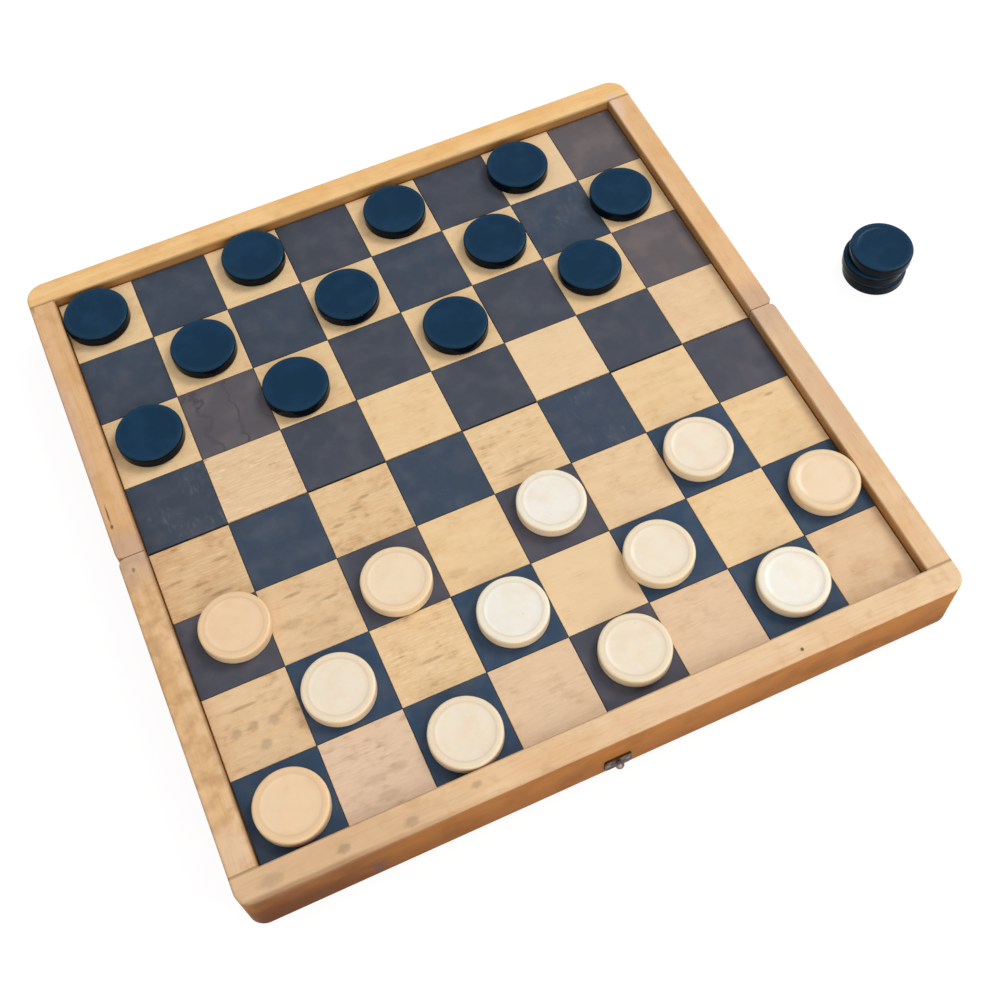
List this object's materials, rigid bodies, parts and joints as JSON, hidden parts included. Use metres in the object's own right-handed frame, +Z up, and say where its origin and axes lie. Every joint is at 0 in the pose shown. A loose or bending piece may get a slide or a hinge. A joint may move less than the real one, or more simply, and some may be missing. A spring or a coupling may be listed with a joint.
{
  "type": "folding checkers board",
  "caption": "Wooden travel checkers set: two hinged trays open into a framed board, with round pieces and a hook latch.",
  "frame": {"origin": "on the table, under the middle of the whole set's bounding box, the spare pieces beside the board included", "axes": "+X along the fold to the right, towards the spare pieces; +Y from the front half to the back half; +Z up"},
  "size_m": [0.3352, 0.2738, 0.0275],
  "materials": {
    "frame_wood": "satin oiled",
    "light_squares": "satin oiled",
    "dark_squares": "satin stained",
    "plywood": "raw",
    "dowel_wood": "raw",
    "aged_brass": "tarnished",
    "steel": "dull",
    "black_pieces": "glossy",
    "ivory_pieces": "satin"
  },
  "bodies": {
    "front_half": {"front_end_rail": "frame_wood", "front_left_rail": "frame_wood", "front_right_rail": "frame_wood", "front_fold_rail": "frame_wood", "front_play_board": "plywood", "front_dark_squares": "dark_squares", "front_light_squares": "light_squares", "front_corner_dowels": "dowel_wood", "left_hinge_front_leaf": "aged_brass", "right_hinge_front_leaf": "aged_brass", "left_hinge_pin": "steel", "right_hinge_pin": "steel", "front_hinge_screws": "steel", "catch_plate": "aged_brass", "catch_stud": "aged_brass", "catch_plate_nails": "steel"},
    "back_half": {"back_end_rail": "frame_wood", "back_left_rail": "frame_wood", "back_right_rail": "frame_wood", "back_fold_rail": "frame_wood", "back_play_board": "plywood", "back_dark_squares": "dark_squares", "back_light_squares": "light_squares", "back_corner_dowels": "dowel_wood", "left_hinge_back_leaf": "aged_brass", "right_hinge_back_leaf": "aged_brass", "back_hinge_screws": "steel", "hook_plate": "aged_brass", "hook_plate_nails": "steel", "hook_rivet": "aged_brass"},
    "latch_hook": {"latch_hook": "aged_brass"},
    "black_checker_1": {"black_checker_1": "black_pieces"},
    "black_checker_2": {"black_checker_2": "black_pieces"},
    "black_checker_3": {"black_checker_3": "black_pieces"},
    "black_checker_4": {"black_checker_4": "black_pieces"},
    "black_checker_5": {"black_checker_5": "black_pieces"},
    "black_checker_6": {"black_checker_6": "black_pieces"},
    "black_checker_7": {"black_checker_7": "black_pieces"},
    "black_checker_8": {"black_checker_8": "black_pieces"},
    "black_checker_9": {"black_checker_9": "black_pieces"},
    "black_checker_10": {"black_checker_10": "black_pieces"},
    "black_checker_11": {"black_checker_11": "black_pieces"},
    "black_checker_12": {"black_checker_12": "black_pieces"},
    "white_checker_1": {"white_checker_1": "ivory_pieces"},
    "white_checker_2": {"white_checker_2": "ivory_pieces"},
    "white_checker_3": {"white_checker_3": "ivory_pieces"},
    "white_checker_4": {"white_checker_4": "ivory_pieces"},
    "white_checker_5": {"white_checker_5": "ivory_pieces"},
    "white_checker_6": {"white_checker_6": "ivory_pieces"},
    "white_checker_7": {"white_checker_7": "ivory_pieces"},
    "white_checker_8": {"white_checker_8": "ivory_pieces"},
    "white_checker_9": {"white_checker_9": "ivory_pieces"},
    "white_checker_10": {"white_checker_10": "ivory_pieces"},
    "white_checker_11": {"white_checker_11": "ivory_pieces"},
    "white_checker_12": {"white_checker_12": "ivory_pieces"},
    "spare_checker_1": {"spare_checker_1": "black_pieces"},
    "spare_checker_2": {"spare_checker_2": "black_pieces"},
    "spare_checker_3": {"spare_checker_3": "black_pieces"}
  },
  "joints": [
    {"name": "fold", "type": "hinge", "parent": "front_half", "child": "back_half", "pos_m": [-0.0356, 0, 0.0011], "axis": [-1, 0, 0], "range_deg": [0, 180]},
    {"name": "hook_swing", "type": "hinge", "parent": "back_half", "child": "latch_hook", "pos_m": [-0.0366, 0.1352, 0.0088], "axis": [0, 1, 0], "range_deg": [-90, 90]},
    {"name": "black_checker_1_lift", "type": "slide", "parent": "back_half", "child": "black_checker_1", "axis": [0, 0, 1], "range_m": [0, 0.012]},
    {"name": "black_checker_2_lift", "type": "slide", "parent": "back_half", "child": "black_checker_2", "axis": [0, 0, 1], "range_m": [0, 0.012]},
    {"name": "black_checker_3_lift", "type": "slide", "parent": "back_half", "child": "black_checker_3", "axis": [0, 0, 1], "range_m": [0, 0.012]},
    {"name": "black_checker_4_lift", "type": "slide", "parent": "back_half", "child": "black_checker_4", "axis": [0, 0, 1], "range_m": [0, 0.012]},
    {"name": "black_checker_5_lift", "type": "slide", "parent": "back_half", "child": "black_checker_5", "axis": [0, 0, 1], "range_m": [0, 0.012]},
    {"name": "black_checker_6_lift", "type": "slide", "parent": "back_half", "child": "black_checker_6", "axis": [0, 0, 1], "range_m": [0, 0.012]},
    {"name": "black_checker_7_lift", "type": "slide", "parent": "back_half", "child": "black_checker_7", "axis": [0, 0, 1], "range_m": [0, 0.012]},
    {"name": "black_checker_8_lift", "type": "slide", "parent": "back_half", "child": "black_checker_8", "axis": [0, 0, 1], "range_m": [0, 0.012]},
    {"name": "black_checker_9_lift", "type": "slide", "parent": "back_half", "child": "black_checker_9", "axis": [0, 0, 1], "range_m": [0, 0.012]},
    {"name": "black_checker_10_lift", "type": "slide", "parent": "back_half", "child": "black_checker_10", "axis": [0, 0, 1], "range_m": [0, 0.012]},
    {"name": "black_checker_11_lift", "type": "slide", "parent": "back_half", "child": "black_checker_11", "axis": [0, 0, 1], "range_m": [0, 0.012]},
    {"name": "black_checker_12_lift", "type": "slide", "parent": "back_half", "child": "black_checker_12", "axis": [0, 0, 1], "range_m": [0, 0.012]},
    {"name": "white_checker_1_lift", "type": "slide", "parent": "front_half", "child": "white_checker_1", "axis": [0, 0, 1], "range_m": [0, 0.012]},
    {"name": "white_checker_2_lift", "type": "slide", "parent": "front_half", "child": "white_checker_2", "axis": [0, 0, 1], "range_m": [0, 0.012]},
    {"name": "white_checker_3_lift", "type": "slide", "parent": "front_half", "child": "white_checker_3", "axis": [0, 0, 1], "range_m": [0, 0.012]},
    {"name": "white_checker_4_lift", "type": "slide", "parent": "front_half", "child": "white_checker_4", "axis": [0, 0, 1], "range_m": [0, 0.012]},
    {"name": "white_checker_5_lift", "type": "slide", "parent": "front_half", "child": "white_checker_5", "axis": [0, 0, 1], "range_m": [0, 0.012]},
    {"name": "white_checker_6_lift", "type": "slide", "parent": "front_half", "child": "white_checker_6", "axis": [0, 0, 1], "range_m": [0, 0.012]},
    {"name": "white_checker_7_lift", "type": "slide", "parent": "front_half", "child": "white_checker_7", "axis": [0, 0, 1], "range_m": [0, 0.012]},
    {"name": "white_checker_8_lift", "type": "slide", "parent": "front_half", "child": "white_checker_8", "axis": [0, 0, 1], "range_m": [0, 0.012]},
    {"name": "white_checker_9_lift", "type": "slide", "parent": "front_half", "child": "white_checker_9", "axis": [0, 0, 1], "range_m": [0, 0.012]},
    {"name": "white_checker_10_lift", "type": "slide", "parent": "front_half", "child": "white_checker_10", "axis": [0, 0, 1], "range_m": [0, 0.012]},
    {"name": "white_checker_11_lift", "type": "slide", "parent": "front_half", "child": "white_checker_11", "axis": [0, 0, 1], "range_m": [0, 0.012]},
    {"name": "white_checker_12_lift", "type": "slide", "parent": "front_half", "child": "white_checker_12", "axis": [0, 0, 1], "range_m": [0, 0.012]},
    {"name": "spare_checker_1_lift", "type": "slide", "parent": "front_half", "child": "spare_checker_1", "axis": [0, 0, 1], "range_m": [0, 0.012]},
    {"name": "spare_checker_2_lift", "type": "slide", "parent": "spare_checker_1", "child": "spare_checker_2", "axis": [0, 0, 1], "range_m": [0, 0.012]},
    {"name": "spare_checker_3_lift", "type": "slide", "parent": "spare_checker_2", "child": "spare_checker_3", "axis": [0, 0, 1], "range_m": [0, 0.012]}
  ]
}
